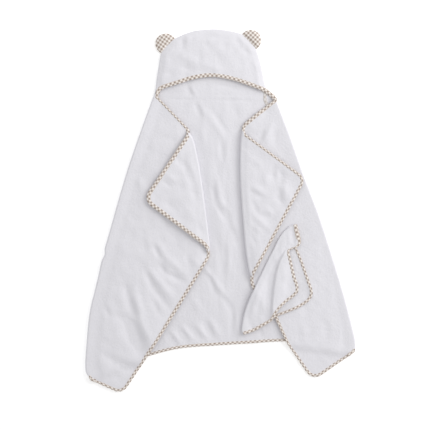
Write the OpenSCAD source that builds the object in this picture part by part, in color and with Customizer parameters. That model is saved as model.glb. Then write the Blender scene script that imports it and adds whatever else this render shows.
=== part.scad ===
// Hooded baby towel laid open on its back, with a matching washcloth on its right flap.
// Frame: +Z up from the surface it lies on, +Y from hem to hood, origin in the middle underneath.
// One terry sheet makes the body: its sides are folded over the front, and each upper front
// corner is turned back on itself. Every stretch between two folds is a flat plate here.

/* [Terry] */
// Thickness of one layer of terry with its pile
terry_t = 3; // [2:0.2:4]
// Air between two layers that lie on each other
layer_gap = 0.4; // [0.3:0.1:1]
// Radius of the cut sheets' corners
corner_r = 27; // [20:1:40]
// Clearance on each side of a fold line
fold_gap = 0.3; // [0.2:0.1:1]

/* [Binding] */
// Visible width of the gingham bias binding
binding_w = 11; // [8:1:16]
// Thickness of the binding tape
tape_t = 0.4; // [0.3:0.1:0.6]

/* [Hood] */
// Radius of the arched face opening
face_r = 276; // [272:1:280]
// Height of the top of the face opening above the neck fold
face_rise = 54; // [50:1:60]

/* [Ears] */
// Radius of an ear
ear_r = 28.5; // [24:0.5:30]
// Height of an ear above its root line
ear_h = 38; // [34:1:42]
// Thickness of a padded ear
ear_t = 9; // [8:0.5:12]
// Thickness of the gingham round the padding
ear_skin = 0.8; // [0.5:0.1:1.2]
// Width of the flat seam between the hood and the padding
ear_root = 5; // [4.5:0.5:7]

/* [Hidden] */
$fn = 32;
reach = 1200;
layer = terry_t + layer_gap;

// Fold lines, each from a to b: the plates that turn lie on its left, and they open by a
// right-handed turn about it
neck_fold = [[-184, 324], [154, 304]];
left_fold = [[-204, 323], [-391, -450]];
right_fold = [[388, -384], [158, 323]];
left_lapel_fold = [[-28, -114], [-78, 227]];
right_lapel_fold = [[51, 222], [73, -194]];

// Lying sides of the body: the ends of each folded side, and how far it bows out between them
left_side = [[-374, -454], [-181, 334]];
left_bow = 23;
right_side = [[152, 312], [374, -389]];
right_bow = 18;

// Cut edges of each stretch of the body sheet, along the middle of its binding, run on past
// the folds that end it
back_sheet = [
    [-450, 500], [-480, -511], [-374, -454], [-195, -400], [-111, -384],
    [-2, -376], [182, -363], [374, -389], [480, -403], [450, 500]
];
left_flap_sheet = [
    [-236, 389], [-87, 227], [93, 72], [-33, -114], [-195, -400], [-270, -510], [-478, -398]
];
right_flap_sheet = [
    [215, 389], [116, 278], [60, 222], [-94, 68], [83, -194], [143, -305], [258, -470], [490, -308]
];
left_lapel_sheet = [[37, 431], [-211, 23], [145, -251]];
right_lapel_sheet = [[-111, 358], [231, 86], [-65, -474]];

// Hood outline from its left neck end, over the crown between the ears, to its right neck end
left_temple = [[-184, 324], [-180, 338], [-176, 360], [-172, 421]];
left_ear_base = [[-165, 434], [-126, 474]];
crown_bow = 20;
right_ear_base = [[59, 486], [98, 445]];
right_temple = [[108, 415], [116, 382], [122, 346], [154, 304]];
face_centre = [-18, 314 + face_rise - face_r];
ear_gap = 0.8;

// Washcloth, gathered at its upper corner: the middle of the binding of its lower and upper
// fall, run on past the soft folds, and each soft fold down from the gathered corner
lower_fall_sheet = [
    [196, 0], [211, -108], [232, -170], [252, -238], [62, -345], [-40, -402], [0, 0]
];
lower_fall_fold = [[201, -36], [165, -61], [101, -202], [75, -272], [60, -341]];
upper_fall_sheet = [
    [196, 20], [217, -91], [187, -118], [216, -222], [139, -292], [40, -382], [20, 20]
];
upper_fall_fold = [[201, -36], [173, -114], [140, -219], [139, -298]];

// Points on a circular arc from a to b that bows out by rise on its left
function arc(a, b, rise, steps = 12) =
    let(
        along = (b - a) / norm(b - a),
        out = [-along.y, along.x],
        r = (pow(norm(b - a) / 2, 2) + rise * rise) / (2 * rise),
        half = asin(norm(b - a) / 2 / r),
        centre = (a + b) / 2 - (r - rise) * out
    )
    [for (i = [0 : steps])
        let(turn = half * (2 * i / steps - 1))
        centre + r * (sin(turn) * along + cos(turn) * out)];

// The plane on the left of the line from a to b, less a clearance
module left_of(line, gap = 0) {
    run = line[1] - line[0];
    translate(line[0])
        rotate(atan2(run.y, run.x))
            translate([-reach, gap])
                square([2 * reach, reach]);
}

// A cut sheet with its corners rounded, from the middle line of its binding
module cut_sheet(points) {
    offset(r = corner_r + binding_w / 2)
        offset(delta = -corner_r)
            polygon(points);
}

// The space between the side folds, below the neck fold
module body_space() {
    intersection() {
        polygon(concat(
            arc(left_side[0], left_side[1], left_bow),
            arc(right_side[0], right_side[1], right_bow),
            [[374, -600], [-374, -600]]
        ));
        left_of(left_fold, fold_gap);
        left_of(right_fold, fold_gap);
        left_of([neck_fold[1], neck_fold[0]], fold_gap);
    }
}

// The hood's outline above the neck fold
module hood_space() {
    intersection() {
        polygon(concat(
            left_temple,
            arc(left_ear_base[1], right_ear_base[0], crown_bow),
            [right_ear_base[1]],
            right_temple,
            [left_temple[0]]
        ));
        left_of(neck_fold, fold_gap);
    }
}

// The space right of a soft fold that goes down from a gathered corner
module fall_space(soft_fold) {
    low = soft_fold[len(soft_fold) - 1];
    polygon(concat(soft_fold, [[low.x, -reach], [reach, -reach], [reach, soft_fold[0].y]]));
}

// Terry of a sheet, child 0, inside a space, child 1: full pile within the binding, and a
// squeezed edge that the binding wraps
module terry() {
    color("white") {
        linear_extrude(terry_t)
            intersection() {
                offset(delta = -binding_w)
                    children(0);
                children(1);
            }
        translate([0, 0, tape_t])
            linear_extrude(terry_t - 2 * tape_t)
                intersection() {
                    offset(delta = -tape_t)
                        children(0);
                    children(1);
                }
    }
}

// Binding folded round the cut edges of a sheet, child 0, inside a space, child 1
module binding() {
    color("tan")
        difference() {
            linear_extrude(terry_t)
                intersection() {
                    difference() {
                        children(0);
                        offset(delta = -binding_w)
                            children(0);
                    }
                    children(1);
                }
            translate([0, 0, tape_t])
                linear_extrude(terry_t - 2 * tape_t)
                    offset(delta = -tape_t)
                        children(0);
        }
}

module back_panel() {
    terry() {
        cut_sheet(back_sheet);
        body_space();
    }
}

module hem_binding() {
    binding() {
        cut_sheet(back_sheet);
        body_space();
    }
}

// A flap's space, between the side fold, the neck and its lapel's fold
module flap_space(lapel_fold) {
    intersection() {
        body_space();
        left_of(lapel_fold, fold_gap);
    }
}

module flap_panel(sheet, lapel_fold) {
    translate([0, 0, layer])
        terry() {
            cut_sheet(sheet);
            flap_space(lapel_fold);
        }
}

module flap_binding(sheet, lapel_fold) {
    translate([0, 0, layer])
        binding() {
            cut_sheet(sheet);
            flap_space(lapel_fold);
        }
}

module left_flap_panel() {
    flap_panel(left_flap_sheet, left_lapel_fold);
}

module left_flap_binding() {
    flap_binding(left_flap_sheet, left_lapel_fold);
}

module right_flap_panel() {
    flap_panel(right_flap_sheet, right_lapel_fold);
}

module right_flap_binding() {
    flap_binding(right_flap_sheet, right_lapel_fold);
}

module lapel_panel(sheet, fold) {
    translate([0, 0, 2 * layer])
        terry() {
            cut_sheet(sheet);
            left_of(fold, fold_gap);
        }
}

module lapel_binding(sheet, fold) {
    translate([0, 0, 2 * layer])
        binding() {
            cut_sheet(sheet);
            left_of(fold, fold_gap);
        }
}

module left_lapel_panel() {
    lapel_panel(left_lapel_sheet, left_lapel_fold);
}

module left_lapel_binding() {
    lapel_binding(left_lapel_sheet, left_lapel_fold);
}

module right_lapel_panel() {
    lapel_panel(right_lapel_sheet, right_lapel_fold);
}

module right_lapel_binding() {
    lapel_binding(right_lapel_sheet, right_lapel_fold);
}

// The hood front's cut edge: the plane above the arched face opening
module hood_cut() {
    low = face_centre.y;
    polygon(concat(
        arc(face_centre + [-face_r, 0], face_centre + [face_r, 0], face_r - 0.1, 48),
        [[reach, low], [reach, reach], [-reach, reach], [-reach, low]]
    ));
}

module hood_back() {
    color("white")
        linear_extrude(terry_t)
            hood_space();
}

module hood_front() {
    translate([0, 0, layer])
        terry() {
            hood_cut();
            hood_space();
        }
}

module hood_binding() {
    translate([0, 0, layer])
        binding() {
            hood_cut();
            hood_space();
        }
}

// Puts an ear on its base line, with its turning line just clear of the hood seam
module on_hood(base) {
    run = base[1] - base[0];
    translate((base[0] + base[1]) / 2)
        rotate(atan2(run.y, run.x))
            translate([0, ear_gap, 0])
                children();
}

// A round ear cut straight along its root, inset by margin
module ear_outline(margin = 0) {
    intersection() {
        translate([0, ear_h - ear_r])
            circle(ear_r - margin, $fn = 48);
        translate([-ear_r, ear_root + margin])
            square([2 * ear_r, ear_h]);
    }
}

// Front gingham with its side wall, and the flat seam that is sewn into the hood
module ear_front(base) {
    seam_w = 1.8 * ear_r;
    seam_z = terry_t + layer_gap / 2;
    color("tan")
        on_hood(base) {
            difference() {
                translate([0, 0, ear_skin])
                    linear_extrude(ear_t - ear_skin)
                        ear_outline();
                translate([0, 0, ear_skin])
                    linear_extrude(ear_t - 2 * ear_skin)
                        ear_outline(ear_skin);
            }
            translate([-seam_w / 2, fold_gap, seam_z - 0.3])
                cube([seam_w, ear_root + ear_skin / 2 - fold_gap, 0.6]);
        }
}

module ear_padding(base) {
    color("ivory")
        on_hood(base)
            translate([0, 0, ear_skin])
                linear_extrude(ear_t - 2 * ear_skin)
                    ear_outline(ear_skin);
}

module ear_back(base) {
    color("tan")
        on_hood(base)
            linear_extrude(ear_skin)
                ear_outline();
}

module left_ear_front() {
    ear_front(left_ear_base);
}

module left_ear_padding() {
    ear_padding(left_ear_base);
}

module left_ear_back() {
    ear_back(left_ear_base);
}

module right_ear_front() {
    ear_front(right_ear_base);
}

module right_ear_padding() {
    ear_padding(right_ear_base);
}

module right_ear_back() {
    ear_back(right_ear_base);
}

// The washcloth's lower fall lies on the right flap, and its upper fall on the lower one
module washcloth_panel() {
    translate([0, 0, 2 * layer])
        terry() {
            cut_sheet(lower_fall_sheet);
            fall_space(lower_fall_fold);
        }
    translate([0, 0, 2 * layer + terry_t])
        terry() {
            cut_sheet(upper_fall_sheet);
            fall_space(upper_fall_fold);
        }
}

module washcloth_binding() {
    translate([0, 0, 2 * layer])
        binding() {
            cut_sheet(lower_fall_sheet);
            fall_space(lower_fall_fold);
        }
    translate([0, 0, 2 * layer + terry_t])
        binding() {
            cut_sheet(upper_fall_sheet);
            fall_space(upper_fall_fold);
        }
}

back_panel();
hem_binding();
hood_back();
hood_front();
hood_binding();
left_ear_front();
left_ear_padding();
left_ear_back();
right_ear_front();
right_ear_padding();
right_ear_back();
left_flap_panel();
left_flap_binding();
right_flap_panel();
right_flap_binding();
left_lapel_panel();
left_lapel_binding();
right_lapel_panel();
right_lapel_binding();
washcloth_panel();
washcloth_binding();
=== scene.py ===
"""Hooded baby towel, laid open on its back with its washcloth on the right flap.

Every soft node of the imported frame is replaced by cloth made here. The towel is built up in layers: the back
on the floor, the side flaps folded over it, and each flap's upper corner turned back over the flap. Lengths
are in millimetres in the frame's own axes, and become metres when a mesh is made.
"""

import itertools
import math

import bpy
import numpy as np
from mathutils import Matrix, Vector
from mathutils.geometry import delaunay_2d_cdt


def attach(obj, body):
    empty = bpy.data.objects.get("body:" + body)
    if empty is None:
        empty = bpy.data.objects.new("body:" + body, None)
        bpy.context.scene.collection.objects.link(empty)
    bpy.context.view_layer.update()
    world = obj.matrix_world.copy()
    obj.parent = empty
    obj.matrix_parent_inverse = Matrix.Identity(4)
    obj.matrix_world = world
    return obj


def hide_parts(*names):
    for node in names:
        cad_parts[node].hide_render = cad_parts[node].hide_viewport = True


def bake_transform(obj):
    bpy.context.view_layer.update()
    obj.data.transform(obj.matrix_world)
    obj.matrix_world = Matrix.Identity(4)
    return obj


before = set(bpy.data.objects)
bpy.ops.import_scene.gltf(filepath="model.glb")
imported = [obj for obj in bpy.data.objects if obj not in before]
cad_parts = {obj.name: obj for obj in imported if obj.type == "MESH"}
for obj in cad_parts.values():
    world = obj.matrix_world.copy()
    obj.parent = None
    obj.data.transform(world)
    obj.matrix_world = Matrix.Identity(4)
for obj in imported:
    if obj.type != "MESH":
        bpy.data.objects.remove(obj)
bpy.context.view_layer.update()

MM = 0.001

# Cloth
TERRY = 3.0  # one layer of terry with its pile
LAYER = 4.8  # from one layer's middle to the next one's, with room for a binding between them
FLOOR_MID = 1.6  # middle of the layer that lies on the floor
GRID = 5.0  # spacing of the cloth meshes
STEP = 4.0  # spacing along cut edges and folds
FOLD_DEPTH = 5.0  # how far the curve of a fold reaches into the cloth
TAPE_W = 11.0
TAPE_T = 4.4
TAPE_FLOOR = 2.4  # middle of the binding where it lies on the floor
CHECK = 8.8  # one repeat of the gingham, a dark and a light check
BIAS_DRIFT = 0.022  # how much the binding's checks lean away from a true bias
TAPE_STEP = 1.5  # spacing along a binding

# Relief of the flaps and lapels
RIDGE = 3.2  # height of the swell along a side fold
RIDGE_REACH = {"left": 28, "right": 38}  # how wide its slope is
LOW_RISE = {"left": 2.4, "right": 0.8}  # how much higher a flap stands near its foot
FLAP_SEEDS = {"left": (11, 12), "right": (17, 18)}
LAPEL_SEED = {"left": 21, "right": 27}

# Edges of the body sheet as it lies: the middle of its binding, as (x, y, corner radius)
LEFT_EDGE = [
    (-174, 326, 0), (-177, 312, 6), (-83, 214, 22), (-207, 29, 24), (-22, -110, 34),
    (-181, -367, 150), (-273, -505, 25), (-360, -466, 0),
]
RIGHT_EDGE = [
    (149, 309, 0), (154, 303, 3), (103, 264, 90), (49, 220, 22), (231, 86, 22), (78, -196, 45),
    (151, -291, 60), (186, -367, 90), (256, -468, 26), (367, -391, 0),
]
HEM = [
    (-363, -459), (-280, -425), (-195, -399), (-112, -379), (-15, -371),
    (82, -365), (181, -360), (280, -372), (370, -387),
]
# Outer line of each fold, from the neck down or from its upper end down
LEFT_FOLD = [
    (-183, 322), (-215, 235), (-262, 97), (-312, -77), (-320, -105), (-321, -124), (-329, -141),
    (-337, -177), (-346, -215), (-363, -290), (-373, -400), (-374, -434), (-372, -450), (-365, -461),
]
RIGHT_FOLD = [
    (155, 304), (192, 208), (231, 97), (273, -14), (309, -125), (342, -235), (369, -340), (374, -372),
    (374, -386),
]
LEFT_LAPEL_FOLD = [(-86, 214), (-72, 184), (-56, 105), (-42, 6), (-31, -83), (-30, -113)]
RIGHT_LAPEL_FOLD = [(59, 217), (55, 180), (54, 111), (58, 28), (68, -97), (77, -160), (84, -184)]

# Hood
NECK = [(-182, 322), (153, 303)]
HOOD_EDGE = [
    (-182, 322), (-179, 343), (-176, 368), (-171, 399), (-168, 419), (-163, 436),
    (-148, 456), (-126, 474), (-77, 494), (-21, 500), (21, 496), (59, 486),
    (82, 467), (98, 445), (108, 415), (116, 382), (122, 350), (134, 324), (145, 314), (153, 303),
]
FACE = [
    (-174, 323), (-171, 331), (-162, 339), (-149, 344), (-119, 353), (-77, 366), (-25, 373),
    (24, 366), (68, 353), (118, 334), (132, 325), (145, 314), (151, 306),
]
NECK_TAPE = [(117, 331), (124, 324), (123, 313), (124, 302), (131, 290), (140, 284)]

# Creases, as start, end, width and height: a ridge, or a valley where the height is below zero
BACK_CREASES = [
    ((-150, 313), (-60, 311), 3, 0.7), ((-60, 311), (110, 308), 3, 0.5),
    ((-150, 306), (-40, 305), 4, -0.7), ((-40, 305), (112, 302), 4, -0.9),
    ((-92, 342), (-76, 312), 6, -1.3), ((-84, 344), (-66, 314), 6, 1.3),
    ((-71, 297), (-55, 257), 6, -2.1), ((-52, 294), (-42, 258), 7, 1.4), ((-39, 275), (8, 200), 8, 1.3),
    ((-22, 276), (20, 210), 7, -1.2), ((-20, 350), (50, 336), 5, -1.9), ((40, 290), (44, 250), 8, -1.2),
    ((95, 300), (80, 280), 6, -1.2), ((1, 200), (5, 136), 6, -1.5), ((20, 204), (18, 130), 7, 1.4),
    ((-45, 122), (-30, 60), 7, 1.8), ((-24, 66), (-12, 18), 6, -2.2), ((-13, 20), (12, -28), 6, -2.4),
    ((-10, 90), (-2, 34), 7, 2.6), ((-2, 34), (24, -8), 8, 2.4), ((-40, 50), (-28, -30), 6, -1.4),
    ((-28, 20), (-22, -100), 7, 1.6), ((30, -46), (52, -104), 7, -1.8), ((40, -30), (56, -80), 8, 1.4),
    ((25, -96), (21, -176), 8, 1.9), ((-12, -60), (-2, -140), 8, -1.4), ((8, 40), (26, -60), 8, -1.2),
    ((-47, -154), (-18, -194), 7, 2.3), ((-20, -190), (17, -246), 8, 2.6),
    ((-32, -176), (-14, -234), 7, -1.9), ((4, -232), (34, -284), 8, -2.2),
    ((34, -280), (32, -350), 8, -1.8), ((46, -260), (42, -340), 9, 1.4),
    ((-150, -342), (-122, -376), 7, -2.2), ((-134, -336), (-110, -370), 6, 1.7),
    ((-118, -328), (-94, -364), 7, -2.2), ((-104, -322), (-76, -358), 7, 1.8),
    ((-92, -322), (-52, -360), 7, -2.2), ((-70, -312), (-36, -356), 7, 1.8),
    ((-48, -306), (-18, -358), 8, -2.3), ((-30, -300), (-4, -350), 8, 1.8),
    ((-80, -240), (-50, -290), 10, 1.3), ((108, -330), (114, -352), 7, -1.4),
]
HOOD_CREASES = [
    ((-104, 486), (-106, 438), 7, -2.2), ((-92, 488), (-92, 450), 8, 1.3),
    ((-64, 480), (22, 481), 7, -1.9), ((-60, 466), (10, 466), 8, 1.0),
    ((-42, 476), (-34, 444), 6, -1.3), ((40, 488), (58, 444), 9, -2.4), ((56, 446), (94, 422), 8, -2.2),
    ((72, 470), (86, 446), 7, 1.5), ((-130, 438), (-62, 404), 12, 2.6),
    ((-68, 407), (16, 384), 11, 2.5), ((-128, 402), (-72, 385), 9, -2.2),
    ((-156, 385), (-130, 370), 8, -1.6), ((-152, 424), (-140, 396), 9, 1.2),
    ((0, 446), (34, 400), 14, 1.1), ((82, 410), (94, 368), 9, -1.3), ((40, 410), (60, 380), 10, 1.2),
    ((-20, 440), (0, 410), 9, -1.0),
]
FLAP_CREASES = {
    "left": [
        ((-184, -98), (-167, -134), 7, -2.6), ((-178, -84), (-140, -150), 9, 1.8),
        ((-173, -146), (-150, -176), 8, -2.6), ((-154, -173), (-98, -199), 8, -2.6),
        ((-150, -128), (-90, -186), 10, 2.2), ((-202, -158), (-130, -248), 10, 2.8),
        ((-204, -172), (-184, -222), 9, -2.8), ((-188, -212), (-140, -277), 9, -2.6),
        ((-187, -248), (-168, -294), 8, -1.9), ((-264, -200), (-254, -250), 9, -2.4),
        ((-256, -238), (-236, -296), 11, -3.2), ((-240, -212), (-220, -300), 11, 2.6),
        ((-224, -290), (-194, -378), 12, 3.0), ((-286, -290), (-240, -322), 14, -3.4),
        ((-254, -306), (-216, -404), 25, -8.0), ((-225, -290), (-175, -400), 62, 4.2),
        ((-322, -262), (-306, -300), 8, -1.8), ((-330, -396), (-276, -428), 12, -2.6),
        ((-290, -428), (-226, -440), 13, -5.0), ((-150, -30), (-118, -92), 12, -1.8),
        ((-208, -60), (-190, -110), 11, 1.4), ((-160, 130), (-176, 80), 12, 1.2),
        ((-230, 100), (-216, 40), 12, 1.2), ((-96, -120), (-84, -160), 9, -1.6),
        ((-72, -130), (-60, -160), 8, 1.2),
    ],
    "right": [
        ((147, 243), (115, 184), 9, 2.5), ((119, 218), (107, 190), 7, -1.9),
        ((166, 226), (140, 178), 9, -1.6), ((213, 132), (224, 96), 8, -1.6),
        ((325, -190), (322, -264), 11, -2.2), ((330, -262), (350, -320), 11, -2.8),
        ((352, -306), (346, -384), 12, -3.4), ((364, -300), (364, -380), 9, 1.6),
        ((262, 10), (284, -140), 15, 1.7), ((122, 277), (172, 273), 8, -1.8),
        ((282, -90), (284, -140), 9, -1.4), ((240, -200), (262, -250), 9, 1.4),
        ((300, -130), (318, -260), 15, 1.5), ((228, -320), (232, -352), 10, 1.2),
        ((290, -300), (296, -370), 12, -1.4),
    ],
}
LAPEL_CREASES = {
    "left": [
        ((-122, 140), (-96, 122), 8, -3.0), ((-100, 128), (-80, 80), 9, -3.6),
        ((-80, 86), (-64, 14), 9, -3.2), ((-162, 82), (-134, 60), 6, -2.1),
        ((-150, 97), (-122, 79), 7, 2.1), ((-110, 30), (-72, -22), 10, 1.7),
        ((-150, 20), (-120, -4), 9, -1.5), ((-62, -30), (-48, -76), 8, -1.5),
    ],
    "right": [
        ((84, 66), (124, 45), 9, 2.1), ((82, 52), (118, 33), 7, -1.5), ((147, 122), (143, 80), 7, -1.7),
        ((173, 76), (180, 24), 9, 1.9), ((160, 62), (166, 24), 7, -1.4),
        ((100, -24), (140, -58), 9, 1.7), ((92, 140), (118, 116), 9, 1.5),
        ((86, -10), (92, -70), 8, -1.5), ((120, 100), (128, 70), 8, 1.2),
        ((62, 130), (76, -20), 10, 1.6), ((88, 28), (104, -16), 7, -2.0),
        ((166, 114), (170, 66), 8, -2.2), ((150, 40), (174, 16), 7, -1.7),
        ((176, 62), (194, 42), 10, 1.6), ((104, -12), (138, -22), 7, -1.6),
        ((80, -62), (98, -100), 7, -1.8), ((76, -34), (110, -60), 7, 1.6),
        ((122, 8), (146, -16), 7, 1.6),
    ],
}

# Washcloth, folded corner to corner: its two layers' bound edges, its fold, the pleat across the upper
# layer, and the line under it along which the right flap lies flat
UPPER_EDGE = [
    (206, -40), (209, -56), (214, -76), (217, -90), (210, -101), (194, -107), (186, -115), (190, -133),
    (196, -160), (203, -188), (210, -208), (210, -224), (199, -237), (179, -252), (160, -271),
    (148, -288), (139, -303), (127, -311), (113, -319), (93, -330), (77, -336), (63, -340),
]
LOWER_EDGE = [
    (203, -42), (205, -60), (207, -80), (205, -96), (208, -108), (215, -123), (224, -146), (233, -172),
    (242, -198), (249, -218), (250, -234), (241, -249), (226, -260), (210, -269), (189, -278),
    (171, -285), (156, -290), (144, -298), (132, -309), (113, -321), (93, -332), (77, -338), (64, -342),
]
CLOTH_FOLD = [
    (203, -39), (188, -47), (173, -61), (159, -81), (145, -110), (127, -145), (113, -175), (97, -209),
    (83, -239), (70, -271), (62, -303), (58, -330), (60, -338),
]
PLEAT = [
    (186, -103), (176, -117), (164, -138), (155, -165), (149, -195), (145, -225), (142, -257), (141, -292),
]
CLOTH_SPINE = [(185, -80), (132, -280)]


def smooth(t):
    """0 below 0 and 1 above 1, with an S between."""
    t = np.clip(t, 0, 1)
    return t * t * (3 - 2 * t)


def even(path, step=STEP):
    """The path again, with even steps of about that length."""
    path = np.asarray(path, float)
    run = np.concatenate([[0], np.cumsum(np.linalg.norm(np.diff(path, axis=0), axis=1))])
    at = np.linspace(0, run[-1], max(2, round(run[-1] / step) + 1))
    return np.stack([np.interp(at, run, path[:, k]) for k in range(path.shape[1])], axis=1)


def curve(points, step=STEP):
    """A smooth curve through the points."""
    p = np.array(points, float)
    p = np.vstack([2 * p[0] - p[1], p, 2 * p[-1] - p[-2]])
    t = np.linspace(0, 1, 20, endpoint=False)[:, None]
    parts = [
        b + 0.5 * t * (c - a + t * (2 * a - 5 * b + 4 * c - d + t * (3 * (b - c) + d - a)))
        for a, b, c, d in zip(p, p[1:], p[2:], p[3:])
    ]
    return even(np.vstack(parts + [p[-2:-1]]), step)


def rounded(points, step=STEP):
    """Straight runs between the points, with an arc of its own radius at each corner."""
    path = [np.array(points[0][:2], float)]
    for (ax, ay, _), (bx, by, radius), (cx, cy, _) in zip(points, points[1:], points[2:]):
        corner = np.array([bx, by], float)
        back = np.array([ax, ay]) - corner
        on = np.array([cx, cy]) - corner
        back, on = back / np.linalg.norm(back), on / np.linalg.norm(on)
        half = math.acos(np.clip(back @ on, -1, 1)) / 2
        reach = radius / math.tan(half)
        middle = (back + on) / np.linalg.norm(back + on)
        centre = corner + middle * radius / math.sin(half)
        start, end = corner + back * reach - centre, corner + on * reach - centre
        sweep = math.atan2(start[0] * end[1] - start[1] * end[0], start @ end)
        for turn in np.linspace(0, sweep, 12):
            c, s = math.cos(turn), math.sin(turn)
            path.append(centre + [c * start[0] - s * start[1], s * start[0] + c * start[1]])
    path.append(np.array(points[-1][:2], float))
    return even(path, step)


def tangents(path):
    """Unit vectors along a path."""
    d = np.gradient(path, axis=0)
    return d / np.maximum(np.linalg.norm(d, axis=1)[:, None], 1e-9)


def left_normals(path):
    """Unit vectors in plan to the left of a path."""
    d = tangents(path[:, :2])
    return np.stack([-d[:, 1], d[:, 0]], axis=1)


def distance(x, y, path):
    """How far each point of a plan is from a path."""
    path = even(np.asarray(path)[:, :2], 2.0)
    best = np.full(np.shape(x), 1e9)
    for a, b in zip(path, path[1:]):
        d = b - a
        t = np.clip(((x - a[0]) * d[0] + (y - a[1]) * d[1]) / (d @ d), 0, 1)
        best = np.minimum(best, np.hypot(x - a[0] - t * d[0], y - a[1] - t * d[1]))
    return best


def inside(x, y, outline):
    """Whether each point lies in a closed outline."""
    odd = np.zeros(len(x), bool)
    for (ax, ay), (bx, by) in zip(outline, np.roll(outline, -1, axis=0)):
        crosses = (ay > y) != (by > y)
        with np.errstate(divide="ignore", invalid="ignore"):
            odd ^= crosses & (x < (bx - ax) * (y - ay) / (by - ay) + ax)
    return odd


def past(d, start, width):
    """0 up to a distance of start, rising to 1 over the width beyond it."""
    return smooth((d - start) / width)


def near(d, width):
    """1 at no distance, falling to 0 at the width."""
    return smooth(1 - d / width)


def bell(d, width):
    """1 at no distance, falling off on both sides."""
    return np.exp(-((d / width) ** 2))


def ripples(x, y, length, seed, stretch=(1.0, 1.0)):
    """Gentle random waves, from about -1 to 1, of about that length."""
    r = np.random.default_rng(seed)
    total = np.zeros(np.shape(x))
    for _ in range(14):
        angle, phase = r.uniform(0, math.tau, 2)
        k = math.tau / (length * r.uniform(0.7, 1.5))
        total += np.sin(k * (x * math.cos(angle) / stretch[0] + y * math.sin(angle) / stretch[1]) + phase)
    return total / 4.2


def swells(x, y, length, seed, stretch=(1.0, 1.0)):
    """The same waves, from about 0 to 1."""
    return 0.5 + 0.5 * ripples(x, y, length, seed, stretch)


def ridge(x, y, start, end, width, height):
    """A soft crease from start to end: a ridge, or a valley where height is negative."""
    a, b = np.array(start, float), np.array(end, float)
    d = b - a
    t = np.clip(((x - a[0]) * d[0] + (y - a[1]) * d[1]) / (d @ d), 0, 1)
    away = np.hypot(x - a[0] - t * d[0], y - a[1] - t * d[1])
    return height * bell(away, width) * np.sin(math.pi * (0.08 + 0.84 * t))


# ---------------------------------------------------------------- heights of the layers

left_edge = rounded(LEFT_EDGE)
right_edge = rounded(RIGHT_EDGE)
hem = curve(HEM)
left_fold = curve(LEFT_FOLD)
right_fold = curve(RIGHT_FOLD)
left_lapel_fold = curve(LEFT_LAPEL_FOLD)
right_lapel_fold = curve(RIGHT_LAPEL_FOLD)
hood_edge = curve(HOOD_EDGE)
face = curve(FACE)

# Each flap's bound edge, side fold and lapel fold, and 1 where the flap lies to the left of its side fold
FLAPS = {
    "left": (left_edge, left_fold, left_lapel_fold, 1),
    "right": (right_edge, right_fold, right_lapel_fold, -1),
}


def creases(x, y, lines):
    """The height that a list of creases adds."""
    return sum((ridge(x, y, *line) for line in lines), np.zeros(np.shape(x)))


def floor_mid(x, y):
    """The layer that lies on the floor: the back, and above the neck the back of the hood."""
    rim = np.minimum(distance(x, y, left_fold), distance(x, y, right_fold))
    rim = np.minimum(rim, distance(x, y, hood_edge))
    lapels = np.minimum(distance(x, y, left_lapel_fold), distance(x, y, right_lapel_fold))
    free = past(rim, 15, 45) * past(lapels, 6, 26)  # it lies flat near its folds and under the lapels' folds
    centre = 0.35 + 0.65 * bell(x - 5 + 0.1 * y, 80)
    waves = swells(x, y, 60, 3, (0.55, 1.6))
    fine = swells(x, y, 26, 4, (0.6, 1.5))
    rise = centre * (1.2 + 0.9 * waves + 0.4 * fine) + 1.15 * creases(x, y, BACK_CREASES)
    z = FLOOR_MID + free * (0.2 + rise)
    return np.maximum(z, FLOOR_MID)


def over_back(x, y):
    """1 where a flap lies on the back, falling to 0 where it hangs past the hem onto the floor."""
    above_hem = y - np.interp(x, hem[:, 0], hem[:, 1])
    return past(above_hem, -33, 28)


def flap_mid(x, y, side):
    """A side flap, which lies on the back and rises along its fold."""
    _, fold, lapel_fold, _ = FLAPS[side]
    s = distance(x, y, fold)
    free = past(s, 12, 34) * past(distance(x, y, lapel_fold), 10, 28)
    if side == "right":
        free = free * (1 - 0.8 * np.exp(-((distance(x, y, CLOTH_SPINE) / 62) ** 4)))
    wave_seed, fine_seed = FLAP_SEEDS[side]
    waves = swells(x, y, 70, wave_seed)
    fine = swells(x, y, 30, fine_seed)
    on = over_back(x, y)
    lying = on * (floor_mid(x, y) + LAYER) + (1 - on) * FLOOR_MID
    base = 0.6 + LOW_RISE[side] * past(-y, 60, 90)
    rise = 1.0 * waves + 0.5 * fine + 1.2 * creases(x, y, FLAP_CREASES[side])
    return np.maximum(lying + free * (base + rise), lying) + RIDGE * near(s - 8, RIDGE_REACH[side])


def lapel_mid(x, y, side):
    """A flap's corner turned back over it, which stands up a little at its fold and along its edge."""
    edge, _, fold, _ = FLAPS[side]
    s = distance(x, y, fold)
    lift = 2.0 * near(s, 35) + 1.5 * near(distance(x, y, edge), 30)
    waves = swells(x, y, 50, LAPEL_SEED[side])
    rise = np.maximum(1.7 + 0.8 * waves + 1.0 * creases(x, y, LAPEL_CREASES[side]), 0)
    return flap_mid(x, y, side) + LAYER + lift + past(s, 3, 18) * rise


def hood_front_mid(x, y):
    """The hood's front, rolled at its seam and lifted where its binding ends at the neck."""
    seam = distance(x, y, hood_edge)
    corner = np.minimum(*(np.hypot(x - end[0], y - end[1]) for end in NECK))
    waves = swells(x, y, 50, 33)
    fine = swells(x, y, 24, 34)
    rolled = 0.7 * bell(seam - 5, 3.5) - 0.5 * bell(seam - 11, 4)
    rise = 0.8 + 0.8 * waves + 0.5 * fine + 0.8 * creases(x, y, HOOD_CREASES)
    z = floor_mid(x, y) + LAYER - 1.7 * near(seam, 14) + rolled + 2.0 * near(corner, 26)
    return z + past(seam, 4, 12) * np.maximum(1.0 + rise, 0)


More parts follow.
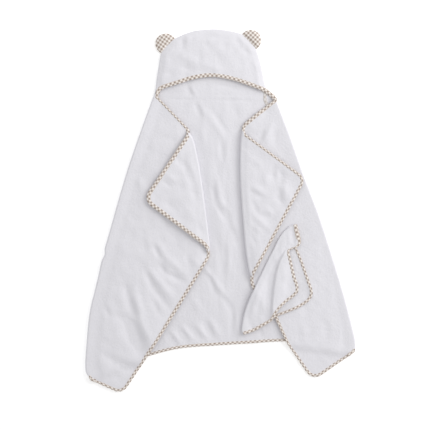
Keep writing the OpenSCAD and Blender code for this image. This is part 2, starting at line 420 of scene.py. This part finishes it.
def rounded_half(x, y):
    """Half the thickness of a hood layer, which closes onto the seam round the hood."""
    inwards = np.clip(distance(x, y, hood_edge) / 4.5, 0, 1)
    return TERRY / 2 * np.sqrt(np.clip(1 - (1 - inwards) ** 2, 0.02, 1))


# ---------------------------------------------------------------- meshes

def add_object(name, points, faces, material, sharp=(), uv=None):
    """A smooth mesh object from points in millimetres. uv holds one pair for each point."""
    mesh = bpy.data.meshes.new(name)
    mesh.from_pydata((np.asarray(points) * MM).tolist(), [], faces)
    mesh.validate()
    mesh.polygons.foreach_set("use_smooth", [True] * len(mesh.polygons))
    if sharp:
        keys = {tuple(sorted(e)) for e in sharp}
        flags = [tuple(sorted(e.vertices)) in keys for e in mesh.edges]
        attribute = mesh.attributes.new("sharp_edge", "BOOLEAN", "EDGE")
        attribute.data.foreach_set("value", flags)
    if uv is not None:
        layer = mesh.uv_layers.new(name="Weave")
        corners = np.zeros(len(mesh.loops), int)
        mesh.loops.foreach_get("vertex_index", corners)
        layer.data.foreach_set("uv", np.asarray(uv, np.float32)[corners].ravel())
    mesh.materials.append(material)
    piece = bpy.data.objects.new(name, mesh)
    bpy.context.scene.collection.objects.link(piece)
    return piece


def fill(outline, spacing, rings=()):
    """Points and triangles that fill a closed outline, with rows of points at the rings' distances in."""
    outline = np.asarray(outline, float)
    ahead = np.roll(outline, -1, axis=0)
    if np.sum(outline[:, 0] * ahead[:, 1] - ahead[:, 0] * outline[:, 1]) < 0:
        outline = outline[::-1]
    low, high = outline.min(0), outline.max(0)
    gx, gy = np.meshgrid(np.arange(low[0], high[0], spacing), np.arange(low[1], high[1], spacing * 0.866))
    gx[1::2] += spacing / 2
    closed = np.vstack([outline, outline[:1]])
    wrapped = np.vstack([outline[-1:], closed])
    normal = left_normals(wrapped)[1:-1]
    rows = [(np.stack([gx.ravel(), gy.ravel()], axis=1), 0.55 * spacing + max(rings, default=0))]
    rows += [(outline + normal * ring, 0.9 * ring) for ring in rings]
    inner = []
    for points, clear in rows:
        points = points[inside(points[:, 0], points[:, 1], outline)]
        inner.append(points[distance(points[:, 0], points[:, 1], closed) > clear])
    points = np.vstack([outline] + inner)
    n = len(outline)
    edges = [(i, (i + 1) % n) for i in range(n)]
    found = delaunay_2d_cdt([Vector(p) for p in points], edges, [], 1, 1e-4)
    return np.array([tuple(v) for v in found[0]]), [tuple(f) for f in found[2]]


def rim_of(faces):
    """The outline's directed edges of a triangulated area."""
    seen = {}
    for face in faces:
        for a, b in zip(face, face[1:] + face[:1]):
            if (b, a) in seen:
                del seen[(b, a)]
            else:
                seen[(a, b)] = True
    return list(seen)


def sheet_mesh(name, outline, low, high, material, spacing=GRID, rings=(), sharp=True, uv=None):
    """A layer of cloth from its underside to its top, with a wall round its outline."""
    plan, faces = fill(outline, spacing, rings)
    x, y = plan[:, 0], plan[:, 1]
    top = np.stack([x, y, high(x, y)], axis=1)
    under = np.stack([x, y, low(x, y)], axis=1)
    n = len(plan)
    rim = rim_of(faces)
    walls = [(b, a, a + n, b + n) for a, b in rim]
    lower = [tuple(i + n for i in reversed(f)) for f in faces]
    hard = [(a, b) for a, b in rim] + [(a + n, b + n) for a, b in rim] if sharp else []
    weave = None if uv is None else np.vstack([uv(x, y)] * 2)
    return add_object(name, np.vstack([top, under]), faces + walls + lower, material, hard, weave)


def layer_mesh(name, outline, mid, half=TERRY / 2, rings=(), spacing=GRID):
    """A terry panel about its middle."""
    thick = half if callable(half) else lambda x, y: half
    return sheet_mesh(
        name, outline, lambda x, y: mid(x, y) - thick(x, y), lambda x, y: mid(x, y) + thick(x, y), terry,
        spacing, rings,
    )


def fold_mesh(name, line, inward, low, high, depth=FOLD_DEPTH, half=TERRY / 2):
    """The curve of cloth that joins two layers along a fold. line is its outer edge in plan."""
    turns = np.linspace(-math.pi / 2, math.pi / 2, 13)
    rings = []
    for point, into, a, b in zip(line, inward, low, high):
        centre, rise = (a + b) / 2, (b - a) / 2
        outer = (depth, rise + half, turns)
        inner = (depth - 2 * half, rise - half, turns[::-1])
        ring = []
        for reach, climb, order in (outer, inner):
            for t in order:
                ring.append((*(point + into * (depth - reach * math.cos(t))), centre + climb * math.sin(t)))
        rings.append(ring)
    m, n = len(rings[0]), len(rings)
    faces = [
        (i * m + j, i * m + (j + 1) % m, (i + 1) * m + (j + 1) % m, (i + 1) * m + j)
        for i in range(n - 1)
        for j in range(m)
    ]
    ends = [tuple(range(m))[::-1], tuple((n - 1) * m + j for j in range(m))]
    corners = (0, len(turns) - 1, len(turns), m - 1)
    sharp = [(i * m + j, (i + 1) * m + j) for i in range(n - 1) for j in corners]
    sharp += [(i * m + j, i * m + (j + 1) % m) for i in (0, n - 1) for j in range(m)]
    piece = add_object(name, np.array(rings).reshape(-1, 3), faces + ends, terry, sharp)
    run = np.linalg.norm(np.diff(line, axis=0), axis=1).sum()
    return piece


def tape_section(width, thick, sides=28):
    """A binding's rounded section, flat on top and underneath with a shallow channel along the stitches:
    each point's place across and up, its length round the section and its turn."""
    turn = np.linspace(0, math.tau, sides + 1)
    across = np.sign(np.cos(turn)) * np.abs(np.cos(turn)) ** 0.85 * width / 2
    up = np.sign(np.sin(turn)) * np.abs(np.sin(turn)) ** 0.7 * thick / 2
    channel = np.exp(-(((np.abs(across) - 0.31 * width) / (0.07 * width)) ** 2))
    up -= np.sign(up) * 0.1 * thick * channel
    girth = np.concatenate([[0], np.cumsum(np.hypot(np.diff(across), np.diff(up)))])
    return across, up, girth, turn


def swept_tape(path, widths=1.0, width=TAPE_W, thick=TAPE_T, side=None):
    """The rings of a binding along the middle of its path, and the weave's coordinates on them. It lies
    flat, or with its width towards side."""
    path = np.asarray(path, float)
    along = tangents(path)
    side = np.cross([0, 0, 1.0], along) if side is None else np.tile(np.array(side, float), (len(path), 1))
    side = side - along * np.sum(side * along, axis=1)[:, None]
    side /= np.linalg.norm(side, axis=1)[:, None]
    up = np.cross(along, side)
    widths = np.broadcast_to(widths, len(path))
    run = np.concatenate([[0], np.cumsum(np.linalg.norm(np.diff(path, axis=0), axis=1))])
    across, raised, girth, turn = tape_section(width, thick)
    repeat = CHECK * math.sqrt(2)
    rings, weave = [], []
    for k, place in enumerate(path):
        sewn = 0.045 * np.sin(math.tau * run[k] / 8.5 + 2 * turn)
        pucker = 1 + sewn + 0.03 * math.sin(math.tau * run[k] / 23)
        rings.append(place + side[k] * (across * widths[k])[:, None] + up[k] * (raised * pucker)[:, None])
        lean = BIAS_DRIFT * run[k]
        weave.append(np.stack([run[k] + girth + lean, run[k] - girth - lean], axis=1) / repeat)
    return rings, weave


def tape_piece(name, rings, weave, material=None):
    """A closed length of binding from its rings."""
    m, n = len(rings[0]), len(rings)
    faces = [
        (i * m + j, i * m + j + 1, (i + 1) * m + j + 1, (i + 1) * m + j)
        for i in range(n - 1)
        for j in range(m - 1)
    ]
    faces += [tuple(range(m - 1))[::-1], tuple((n - 1) * m + j for j in range(m - 1))]
    sharp = [(i * m + j, i * m + (j + 1) % (m - 1)) for i in (0, n - 1) for j in range(m - 1)]
    return add_object(
        name, np.vstack(rings), faces, material or gingham, sharp, np.vstack(weave),
    )


# ---------------------------------------------------------------- materials

THREADS = 16  # waves of the plain weave in one repeat of the gingham


def new_material(name):
    """A material, its nodes and links, and its shader."""
    material = bpy.data.materials.new(name)
    material.use_nodes = True
    nodes, links = material.node_tree.nodes, material.node_tree.links
    return material, nodes, links, nodes["Principled BSDF"]


def dial(made, **settings):
    """Give a node its settings: each one is the node's own, or else its input of that name."""
    for key, value in settings.items():
        if hasattr(made, key):
            setattr(made, key, value)
        else:
            made.inputs[key.replace("_", " ")].default_value = value


def node(nodes, kind, **settings):
    """A new node with its settings."""
    made = nodes.new(kind)
    dial(made, **settings)
    return made


def maths(nodes, links, operation, *values):
    """The output of a math node whose inputs are numbers or other nodes' outputs."""
    made = node(nodes, "ShaderNodeMath", operation=operation)
    for value, socket in zip(values, made.inputs):
        if isinstance(value, bpy.types.NodeSocket):
            links.new(value, socket)
        else:
            socket.default_value = value
    return made.outputs[0]


def relief(nodes, links, height, strength, depth, under=None):
    """The normal of a surface with a fine relief, on top of the one under it."""
    made = node(nodes, "ShaderNodeBump", Strength=strength, Distance=depth)
    links.new(height, made.inputs["Height"])
    if under is not None:
        links.new(under, made.inputs["Normal"])
    return made.outputs["Normal"]


def terry_material(name, colour):
    """Cotton loops in tufts, with slightly uneven colour."""
    material, nodes, links, shader = new_material(name)
    place = node(nodes, "ShaderNodeTexCoord")
    loops = node(nodes, "ShaderNodeTexNoise", Scale=620.0, Detail=3.0, Roughness=0.6)
    tufts = node(nodes, "ShaderNodeTexNoise", Scale=170.0, Detail=3.0, Roughness=0.65)
    patches = node(nodes, "ShaderNodeTexNoise", Scale=28.0, Detail=4.0, Roughness=0.6)
    for texture in (loops, tufts, patches):
        links.new(place.outputs["Object"], texture.inputs["Vector"])
    shade = node(nodes, "ShaderNodeMix", data_type="RGBA")
    shade.inputs["A"].default_value = (*[c * 0.93 for c in colour], 1)
    shade.inputs["B"].default_value = (*[min(1, c * 1.05) for c in colour], 1)
    half = maths(nodes, links, "MULTIPLY", patches.outputs["Fac"], 0.5)
    blend = maths(nodes, links, "MULTIPLY_ADD", tufts.outputs["Fac"], 0.5, half)
    links.new(blend, shade.inputs["Factor"])
    links.new(shade.outputs["Result"], shader.inputs["Base Color"])
    coarse = relief(nodes, links, tufts.outputs["Fac"], 0.55, 0.0016)
    fine = relief(nodes, links, loops.outputs["Fac"], 0.6, 0.0009, coarse)
    links.new(fine, shader.inputs["Normal"])
    dial(shader, Roughness=0.95, Specular_IOR_Level=0.15, Sheen_Weight=0.25, Sheen_Roughness=0.6)
    return material


def gingham_material(name, light, middle, dark):
    """Checks from the Weave map, one repeat in each unit, with the threads of a plain weave."""
    material, nodes, links, shader = new_material(name)
    weave = node(nodes, "ShaderNodeUVMap", uv_map="Weave")
    split = node(nodes, "ShaderNodeSeparateXYZ")
    links.new(weave.outputs["UV"], split.inputs[0])
    stripes, threads = [], []
    for axis in ("X", "Y"):
        angle = maths(nodes, links, "MULTIPLY", split.outputs[axis], math.tau)
        stripe = node(nodes, "ShaderNodeMapRange", interpolation_type="SMOOTHSTEP")
        dial(stripe, From_Min=-0.25, From_Max=0.25)
        links.new(maths(nodes, links, "SINE", angle), stripe.inputs["Value"])
        stripes.append(stripe.outputs[0])
        fast = maths(nodes, links, "MULTIPLY", split.outputs[axis], math.tau * THREADS)
        threads.append(maths(nodes, links, "SINE", fast))
    both = maths(nodes, links, "ADD", *stripes)
    colours = node(nodes, "ShaderNodeValToRGB")
    ramp = colours.color_ramp
    ramp.elements[0].color = light
    ramp.elements[1].color = dark
    ramp.elements.new(0.5).color = middle
    links.new(maths(nodes, links, "MULTIPLY", both, 0.5), colours.inputs["Fac"])
    links.new(colours.outputs["Color"], shader.inputs["Base Color"])
    crossing = maths(nodes, links, "MULTIPLY", *threads)
    links.new(relief(nodes, links, crossing, 0.35, 0.0002), shader.inputs["Normal"])
    dial(shader, Roughness=0.9, Specular_IOR_Level=0.2, Sheen_Weight=0.1)
    return material


def wadding_material(name):
    """Loose white fibres."""
    material, nodes, links, shader = new_material(name)
    place = node(nodes, "ShaderNodeTexCoord")
    fibres = node(nodes, "ShaderNodeTexNoise", Scale=900.0, Detail=4.0, Roughness=0.8, Distortion=2.0)
    links.new(place.outputs["Object"], fibres.inputs["Vector"])
    tone = node(nodes, "ShaderNodeMapRange", To_Min=0.72, To_Max=0.9)
    links.new(fibres.outputs["Fac"], tone.inputs["Value"])
    links.new(tone.outputs[0], shader.inputs["Base Color"])
    links.new(relief(nodes, links, fibres.outputs["Fac"], 0.6, 0.0006), shader.inputs["Normal"])
    dial(shader, Roughness=1.0, Specular_IOR_Level=0.1)
    return material


terry = terry_material("white_terry", (0.80, 0.79, 0.83))
gingham = gingham_material(
    "gingham_cotton",
    light=(0.92, 0.875, 0.83, 1),
    middle=(0.67, 0.6, 0.55, 1),
    dark=(0.37, 0.295, 0.25, 1),
)
# A duller copy of the gingham, with darker light checks and paler dark ones: painted shade for the binding
# inside the neck, which lies in shade under the hood's opening.
painted_shade = gingham_material(
    "gingham_wrong_side",
    light=(0.8, 0.775, 0.76, 1),
    middle=(0.72, 0.68, 0.65, 1),
    dark=(0.6, 0.55, 0.52, 1),
)
wadding = wadding_material("polyester_wadding")


# ---------------------------------------------------------------- the body sheet

def inset(line, into, depth=FOLD_DEPTH):
    """Where the curve of a fold ends and the flat cloth starts."""
    return line + into * depth


def nearest(path, point):
    """The index of the path's point that is nearest to a place."""
    return int(np.argmin(np.hypot(path[:, 0] - point[0], path[:, 1] - point[1])))


def ends_of(edge, fold):
    """Where an edge's path meets the upper and lower end of its lapel's fold."""
    n = len(edge)
    upper = nearest(edge[: n // 3], fold[0])
    return upper, n // 5 + nearest(edge[n // 5 : 3 * n // 4], fold[-1])


into_left = left_normals(left_fold)
into_right = -left_normals(right_fold)
LEFT_SEAT = inset(left_fold, into_left)
RIGHT_SEAT = inset(right_fold, into_right)
LEFT_SEAT = LEFT_SEAT[LEFT_SEAT[:, 1] < NECK[0][1] - 13]
RIGHT_SEAT = RIGHT_SEAT[RIGHT_SEAT[:, 1] < NECK[1][1] - 13]
SEAT = even([LEFT_SEAT[0], RIGHT_SEAT[0]], STEP)


def neck_window():
    """Start and end, in metres, of the turn where the hood folds at the neck."""
    left, right = np.array(NECK[0], float), np.array(NECK[1], float)
    run = right - left
    across = np.array([-run[1], run[0]]) / np.linalg.norm(run)
    low, high = left - across * 12, left + across * 12
    return (low[0] * MM, low[1] * MM, 0), (high[0] * MM, high[1] * MM, 0)


def part_across(piece):
    """Bakes the piece's place into its mesh."""
    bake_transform(piece)


def build_back():
    """The back, between the seats of the two side folds."""
    low = hem[(hem[:, 0] > LEFT_SEAT[-1, 0] + 1) & (hem[:, 0] < RIGHT_SEAT[-1, 0] - 1)]
    outline = np.vstack([LEFT_SEAT, low, RIGHT_SEAT[::-1], SEAT[::-1][1:-1]])
    piece = layer_mesh("back_terry", outline, floor_mid)
    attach(piece, "back")
    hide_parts("back_panel")


def build_flap(side):
    """A side flap and its lapel, with the curves of cloth at their folds."""
    edge, fold, lapel_fold, sign = FLAPS[side]
    into = into_left if side == "left" else into_right
    into_lapel = -sign * left_normals(lapel_fold)
    upper, lower = ends_of(edge, lapel_fold)
    side_line = inset(fold, into)
    lapel_line = inset(lapel_fold, into_lapel)

    def mid(x, y):
        return flap_mid(x, y, side)

    def top(x, y):
        return lapel_mid(x, y, side)

    outline = np.vstack([edge[: upper + 1], lapel_line[2:-1], edge[lower:-1], side_line[::-1]])
    panel = layer_mesh(side + "_flap_terry", outline, mid)
    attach(panel, side + "_flap")
    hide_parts(side + "_flap_panel")
    outline = np.vstack([edge[upper : lower + 1], lapel_line[2:-1][::-1]])
    lapel = layer_mesh(side + "_lapel_terry", outline, top)
    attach(lapel, side + "_lapel")
    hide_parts(side + "_lapel_panel")
    low, high = floor_mid(*side_line.T), mid(*side_line.T)
    roll = fold_mesh(side + "_side_fold", fold, into, low, high)
    part_across(roll)
    low, high = mid(*lapel_line.T), top(*lapel_line.T)
    turn = fold_mesh(side + "_lapel_fold", lapel_fold, into_lapel, low, high)
    part_across(turn)


# ---------------------------------------------------------------- binding

# How wide the binding looks along each edge, as (x, y, share of its width), where it rolls onto its side
TAPE_ROLL = {
    "left": [
        (-174, 320, 0.8), (-165, 302, 0.55), (-98, 235, 0.55), (-88, 205, 0.95), (-207, 29, 1),
        (-40, -98, 0.95), (-40, -130, 0.75), (-120, -265, 0.85), (-274, -500, 0.75), (-371, -462, 0.7),
    ],
    "right": [
        (149, 309, 0.75), (130, 286, 0.85), (70, 240, 0.95), (62, 218, 0.6), (120, 165, 0.62),
        (222, 92, 0.7), (215, 60, 0.75), (86, -190, 0.8), (151, -291, 0.85), (190, -372, 0.65),
        (256, -462, 0.78), (372, -389, 0.78),
    ],
}


def width_along(path, marks):
    """A binding's share of its width at each point of its path, from the marked places along it."""
    at = [nearest(path, mark) for mark in marks]
    return np.interp(np.arange(len(path)), at, [share for _, _, share in marks])


def build_tapes(side):
    """The binding of a flap and its lapel: one length, parted where the lapel's fold crosses it."""
    lapel_fold = FLAPS[side][2]
    fine = rounded(LEFT_EDGE if side == "left" else RIGHT_EDGE, TAPE_STEP)
    upper, lower = ends_of(fine, lapel_fold)
    low = flap_mid(*fine.T, side) + 0.45
    floor = 1 - over_back(*fine.T)
    low = low * (1 - floor) + np.maximum(low, TAPE_FLOOR) * floor
    high = lapel_mid(*fine.T, side) + 0.3
    at = np.arange(len(fine))
    z = low + (high - low) * smooth((at - upper + 9) / 18) * smooth((lower - at + 9) / 18)
    rings, weave = swept_tape(np.column_stack([fine, z]), width_along(fine, TAPE_ROLL[side]))
    parts = [("top_tape", 0, upper, "_flap"), ("lapel_tape", upper, lower, "_lapel")]
    parts.append(("front_tape", lower, len(fine) - 4, "_flap"))
    made = {}
    for name, a, b, body in parts:
        made[name] = tape_piece(side + "_" + name, rings[a : b + 1], weave[a : b + 1])
        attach(made[name], side + body)
    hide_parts(side + "_flap_binding")
    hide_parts(side + "_lapel_binding")


def build_hem_tape():
    """The binding along the back's hem, which shows between the flaps."""
    fine = curve(HEM, TAPE_STEP)
    z = np.maximum(floor_mid(*fine.T) + 0.3, TAPE_FLOOR)
    rings, weave = swept_tape(np.column_stack([fine, z])[6:-6], 0.75)
    piece = tape_piece("hem_tape", rings, weave)
    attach(piece, "back")
    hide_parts("hem_binding")


def build_corner_tape(side):
    """The binding where it goes round the foot of a side fold, from the flap's edge to the hem below it."""
    edge, fold = FLAPS[side][:2]
    under = hem[2] if side == "left" else hem[-3]
    high = float(flap_mid(*edge[-1:].T, side)[0]) + 0.45
    inward = (under - fold[-1]) / np.linalg.norm(under - fold[-1])
    foot = fold[-1] + inward * 1.8
    bend = foot + inward * 2.5
    middle = (high + TAPE_FLOOR) / 2
    path = [
        (*edge[-5], high), (*edge[-2], high), (*bend, high - 0.7), (*foot, middle),
        (*bend, TAPE_FLOOR + 0.7), (*(under - inward * 4), TAPE_FLOOR), (*under, TAPE_FLOOR),
    ]
    path = curve(path, TAPE_STEP)
    rings, weave = swept_tape(path, 0.75, side=(0, 1, 0))
    # so that each ring goes with one body only
    clear = np.abs(path[:, 2] - middle) > 2.0  # leaves out the rings near the middle height
    rings, weave = [list(itertools.compress(rows, clear)) for rows in (rings, weave)]
    piece = tape_piece(side + "_corner_tape", rings, weave)
    part_across(piece)


# ---------------------------------------------------------------- hood

def build_hood():
    """The hood's two layers, the binding of the face opening, and the tape inside the neck."""
    outline = np.vstack([hood_edge, RIGHT_SEAT[:1], SEAT[::-1][1:-1], LEFT_SEAT[:1]])
    back = layer_mesh("hood_back_terry", outline, floor_mid, rounded_half, rings=(1.2, 3.0))
    start, end = neck_window()
    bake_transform(back)
    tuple(start)
    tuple(end)
    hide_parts("hood_back")
    outline = np.vstack([hood_edge[1:-1], face[3:-3][::-1]])
    front = layer_mesh("hood_front_terry", outline, hood_front_mid, rounded_half, rings=(1.2, 3.0))
    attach(front, "hood")
    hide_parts("hood_front")
    fine = curve(FACE, TAPE_STEP)
    rings, weave = swept_tape(np.column_stack([fine, hood_front_mid(*fine.T) + 0.3]))
    tape = tape_piece("face_tape", rings, weave)
    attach(tape, "hood")
    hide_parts("hood_binding")
    fine = curve(NECK_TAPE, TAPE_STEP)
    rings, weave = swept_tape(np.column_stack([fine, floor_mid(*fine.T) + 1.7]), width=9, thick=1.8)
    # The binding inside the neck takes the gingham's copy with painted shade.
    inner = tape_piece("neck_tape", rings, weave, painted_shade)
    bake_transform(inner)
    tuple(start)
    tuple(end)


# ---------------------------------------------------------------- ears

EARS = {"left": ((-165, 434), (-126, 474)), "right": ((58, 484), (98, 444))}
EAR_TURN = {"left": math.radians(9), "right": math.radians(2)}  # of the checks, from the ear's own base line
EAR_R = 28.5
EAR_UP = 8.5  # from the ear's base line to its circle's middle
EAR_ROOT = 5.0  # how far it goes in between the hood's layers
EAR_SEAM_Z = 3.3


def ear_outline(shrink=0.0):
    """A round ear with a short straight root, on its own base line."""
    dip = math.asin(EAR_UP / EAR_R)
    around = np.linspace(-dip, math.pi + dip, 84)
    r = EAR_R - shrink
    arc = np.stack([r * np.cos(around), EAR_UP + r * np.sin(around)], axis=1)
    root = np.array([[-24.5 + shrink, -EAR_ROOT], [24.5 - shrink, -EAR_ROOT]])
    return even(np.vstack([arc, root, arc[:1]]), 2.0)[:-1]


def ear_half(u, v, shrink=0.0):
    """Half the ear's thickness: a pillow that is drawn in at its curved seam and at its root."""
    out = np.hypot(u, v - EAR_UP)
    angle = np.arctan2(v - EAR_UP, u)
    deep = np.clip((EAR_R - shrink - out) / 19, 0, 1)
    full = np.sqrt(np.clip(1 - (1 - deep) ** 2, 0, 1)) ** 0.9
    rooted = 0.24 + 0.76 * smooth((v + 2) / 15)
    drawn = 0.35 * np.sin(19 * angle + 1.5 * np.sin(5 * angle)) * np.exp(-(((deep - 0.2) / 0.16) ** 2))
    gathered = 0.25 * np.sin(u / 1.7 + np.sin(u / 6)) * np.exp(-(((v - 3) / 4) ** 2))
    soft = 0.25 * ripples(u, v, 17, 41)
    return 0.35 + full * (5.3 * rooted + soft) + (drawn + gathered) * full


def build_ear(side):
    """An ear's gingham cover and the wadding inside it."""
    a, b = np.array(EARS[side], float)
    run = (b - a) / np.linalg.norm(b - a)
    out = np.array([-run[1], run[0]])
    middle = (a + b) / 2

    def local(x, y):
        dx, dy = x - middle[0], y - middle[1]
        return dx * run[0] + dy * run[1], dx * out[0] + dy * out[1]

    def weave(x, y):
        u, v = local(x, y)
        c, s = math.cos(EAR_TURN[side]), math.sin(EAR_TURN[side])
        return np.stack([u * c + v * s, v * c - u * s], axis=1) / CHECK + 0.25

    def skin(name, material, shrink, share):
        outline = middle + ear_outline(shrink) @ np.array([run, out])

        def low(x, y):
            return np.maximum(EAR_SEAM_Z - 0.72 * share * ear_half(*local(x, y), shrink), 0.3 / share)

        def high(x, y):
            return EAR_SEAM_Z + 1.3 * share * ear_half(*local(x, y), shrink)

        rings = (0.5, 1.3, 2.6)
        piece = sheet_mesh(name, outline, low, high, material, 2.2, rings, sharp=False, uv=weave)
        start, end = middle - 2 * out, middle + 4 * out
        ends = [(*(p * MM), 0) for p in (start, end)]
        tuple(ends[0])
        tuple(ends[1])
        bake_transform(piece)
        return piece

    cover = skin(side + "_ear_cover", gingham, 0.0, 1.0)
    filling = skin(side + "_ear_filling", wadding, 1.5, 0.85)
    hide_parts(side + "_ear_front", side + "_ear_back")
    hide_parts(side + "_ear_padding")


# ---------------------------------------------------------------- washcloth

CLOTH = 2.4  # its terry, thinner than the towel's
CLOTH_TAPE = 4.0
upper_edge = curve(UPPER_EDGE)
lower_edge = curve(LOWER_EDGE)
cloth_fold = curve(CLOTH_FOLD)
pleat = curve(PLEAT)
CLOTH_CREASES = [
    ((186, -66), (128, -190), 8, 1.5), ((176, -84), (118, -214), 6, -1.3),
    ((112, -200), (84, -300), 9, 1.8), ((176, -150), (166, -250), 10, 1.5),
    ((192, -170), (190, -228), 8, -1.2), ((100, -240), (92, -310), 10, 1.2),
    ((198, -50), (204, -94), 5, -1.8), ((186, -60), (190, -98), 6, 1.2),
]


def over_flap(x, y):
    """1 over the right flap, falling to 0 where the washcloth hangs over its front edge onto the back."""
    front = right_edge[ends_of(right_edge, right_lapel_fold)[1] :]
    front = front[: int(np.argmin(front[:, 1]))]
    beyond = x - np.interp(-y, -front[:, 1], front[:, 0])
    return np.where(y > front[0, 1], 1.0, past(beyond, -95, 92))


def under_cloth(x, y):
    """Top of what the washcloth lies on."""
    on = over_flap(x, y)
    bump = 1.1 * bell(distance(x, y, right_edge), 12)
    flap = flap_mid(x, y, "right") + TERRY / 2 + bump
    return on * flap + (1 - on) * (floor_mid(x, y) + TERRY / 2 + 0.4)


def lower_mid(x, y):
    """The washcloth's lower layer, which stands up a little at its edge and in its low fold."""
    edge = near(distance(x, y, lower_edge), 12)
    hung = past(-y, 170, 60) * near(distance(x, y, cloth_fold), 34)
    return under_cloth(x, y) + CLOTH / 2 + 0.2 + 0.25 * edge + 2.6 * hung


def upper_mid(x, y):
    """The washcloth's upper layer, with a step up along its pleat and a valley before the step."""
    both = near(distance(x, y, lower_edge), 14) * near(distance(x, y, upper_edge), 14)
    across = x - np.interp(-y, -pleat[:, 1], pleat[:, 0])
    along = past(-y, 98, 30) * past(y, -316, 46)
    stepped = past(across, -2.2, 4.4) * (1 - 0.85 * past(across, 6, 46))
    held = bell(np.hypot(x - 198, y + 58), 34)
    from_fold = distance(x, y, cloth_fold)
    rise = np.maximum(0.4 + 0.9 * swells(x, y, 34, 51, (0.7, 1.5)) + creases(x, y, CLOTH_CREASES), 0)
    rough = smooth(from_fold / 18) * (0.6 * along + rise * (1 - 0.6 * along * stepped))
    lifted = 6.2 * along * stepped + 0.8 * near(from_fold, 30) + 0.6 * held + rough
    valley = 3.0 * along * bell(across + 8, 9) * past(-y, 130, 60)
    return lower_mid(x, y) + CLOTH + 0.5 + 1.5 * both + np.maximum(lifted - valley, 0)


CLOTH_ROLL = {
    "upper": [
        (206, -40, 1.1), (214, -76, 1.5), (216, -92, 1.0), (206, -103, 0.35), (190, -110, 0.5),
        (190, -133, 1.0), (210, -213, 0.9), (150, -286, 0.85), (127, -311, 0.95), (63, -340, 0.9),
    ],
    "lower": [(203, -42, 0.6), (208, -108, 0.75), (250, -234, 0.85), (156, -290, 0.8), (64, -342, 0.6)],
}


def build_washcloth():
    """The washcloth's two visible layers, their bindings, and the fold that joins them."""
    into = left_normals(cloth_fold)
    line = inset(cloth_fold, into, 4)
    pieces = []
    for name, edge, mid in (("lower", lower_edge, lower_mid), ("upper", upper_edge, upper_mid)):
        outline = np.vstack([edge, line[::-1]])
        panel = layer_mesh(f"washcloth_{name}_terry", outline, mid, CLOTH / 2, spacing=2.6)
        fine = even(edge, TAPE_STEP)
        z = mid(*fine.T) + (0.8 if name == "lower" else 0.5)
        widths = width_along(fine, CLOTH_ROLL[name])
        rings, weave = swept_tape(np.column_stack([fine, z]), widths, 9, CLOTH_TAPE)
        pieces += [panel, tape_piece(f"washcloth_{name}_tape", rings, weave)]
    low, high = lower_mid(*line.T), upper_mid(*line.T)
    pieces.append(fold_mesh("washcloth_fold", cloth_fold, into, low, high, 4, CLOTH / 2))
    for piece in pieces:
        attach(piece, "washcloth")
    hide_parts("washcloth_panel")
    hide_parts("washcloth_binding")


build_back()
for side in FLAPS:
    build_flap(side)
    build_tapes(side)
    build_corner_tape(side)
    build_ear(side)
build_hem_tape()
build_hood()
build_washcloth()


# ---------------------------------------------------------------- stage

VIEW_WIDTH = 1.1911  # metres that the camera sees across, at the floor
LENS = 120
SENSOR = 36
SKY = 0.705
FLOOR_GLOW = 0.3


def build_stage():
    """A plain pale floor and an even white sky."""
    bpy.ops.mesh.primitive_plane_add(size=12, location=(0, 0, -0.0002))
    floor = bpy.context.object
    floor.name = "floor"
    material, nodes, links, shader = new_material("floor_white")
    dial(shader, Base_Color=(0.93, 0.93, 0.93, 1), Roughness=1.0, Specular_IOR_Level=0.0)
    dial(shader, Emission_Color=(1, 1, 1, 1), Emission_Strength=FLOOR_GLOW)
    floor.data.materials.append(material)
    world = bpy.data.worlds.new("studio")
    bpy.context.scene.world = world
    world.use_nodes = True
    dial(world.node_tree.nodes["Background"], Color=(1, 1, 1, 1), Strength=SKY)


def disk_light(name, place, size, power, target=(0, 0, 0)):
    """A round soft light that faces its target."""
    data = bpy.data.lights.new(name, "AREA")
    data.shape = "DISK"
    data.size = size
    data.energy = power
    light = bpy.data.objects.new(name, data)
    light.location = place
    light.rotation_euler = (Vector(target) - Vector(place)).to_track_quat("-Z", "Y").to_euler()
    bpy.context.scene.collection.objects.link(light)


def build_camera():
    """A long lens straight above the towel."""
    data = bpy.data.cameras.new("camera")
    data.lens = LENS
    data.sensor_width = SENSOR
    away = VIEW_WIDTH * LENS / SENSOR
    camera = bpy.data.objects.new("camera", data)
    camera.location = (-0.0152, -0.0139, away)
    bpy.context.scene.collection.objects.link(camera)
    bpy.context.scene.camera = camera


build_stage()
disk_light("key", place=(2.9, 1.5, 1.7), size=2.8, power=74)
disk_light("top", place=(0.1, 1.8, 1.0), size=0.9, power=2, target=(0, 0.3, 0))
build_camera()
bpy.context.scene.view_settings.view_transform = "Standard"
